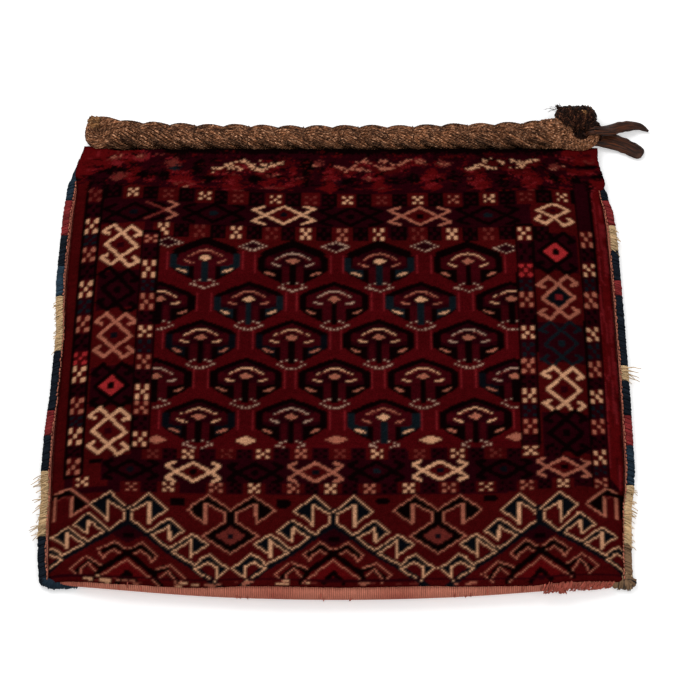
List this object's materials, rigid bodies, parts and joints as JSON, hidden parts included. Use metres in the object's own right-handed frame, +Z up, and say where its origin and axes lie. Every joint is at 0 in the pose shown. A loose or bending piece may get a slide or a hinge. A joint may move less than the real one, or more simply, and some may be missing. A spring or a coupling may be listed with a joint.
{
  "type": "woven storage bag",
  "caption": "Flat woven storage bag with a knotted-pile face and an open mouth, bound sides, a braided hair rope along the hem and a leather tie thong.",
  "frame": {"origin": "centre of the flat underside, on which the bag lies", "axes": "+X across the bag towards the rope's eye, +Y along the bag towards its mouth, +Z up out of the pile face"},
  "size_m": [0.8459, 0.7445, 0.0512],
  "materials": {
    "pile_wool": "knotted wool pile, madder ground with a traditional pattern",
    "navy_yarn": "wound wool yarn, navy",
    "dark_blue_yarn": "wound wool yarn, dark blue",
    "blue_yarn": "wound wool yarn, blue",
    "red_yarn": "wound wool yarn, red",
    "ivory_yarn": "wound wool yarn, ivory, frayed in places",
    "grey_brown_yarn": "wound yarn of mixed grey and brown",
    "goat_hair": "braided goat hair with light fibres",
    "dark_hair": "tousled dark goat hair",
    "leather": "worn dark brown leather"
  },
  "bodies": {
    "root": {"bag_cloth": "pile_wool", "hair_lashing": "dark_hair", "leather_thong": "leather", "left_binding_01_dark_blue": "dark_blue_yarn", "left_binding_02_red": "red_yarn", "left_binding_03_navy": "navy_yarn", "left_binding_04_blue": "blue_yarn", "left_binding_05_ivory": "ivory_yarn", "left_binding_06_navy": "navy_yarn", "left_binding_07_red": "red_yarn", "left_binding_08_navy": "navy_yarn", "left_binding_09_ivory": "ivory_yarn", "left_binding_10_navy": "navy_yarn", "left_corner_ear": "navy_yarn", "right_binding_01_navy": "navy_yarn", "right_binding_02_red": "red_yarn", "right_binding_03_ivory": "ivory_yarn", "right_binding_04_navy": "navy_yarn", "right_binding_05_red": "red_yarn", "right_binding_06_navy": "navy_yarn", "right_binding_07_ivory": "ivory_yarn", "right_binding_08_navy": "navy_yarn", "right_binding_09_red": "red_yarn", "right_binding_10_dark_blue": "dark_blue_yarn", "right_binding_11_ivory": "ivory_yarn", "right_binding_12_grey_brown": "grey_brown_yarn", "right_corner_ear": "grey_brown_yarn", "rope_eye": "goat_hair", "rope_left_end": "goat_hair", "rope_stitch_1": "goat_hair", "rope_stitch_2": "goat_hair", "rope_stitch_3": "goat_hair", "rope_stitch_4": "goat_hair", "rope_stitch_5": "goat_hair", "rope_stitch_6": "goat_hair", "rope_stitch_7": "goat_hair", "rope_stitch_8": "goat_hair", "rope_strand_1": "goat_hair", "rope_strand_2": "goat_hair", "rope_strand_3": "goat_hair"}
  },
  "joints": []
}
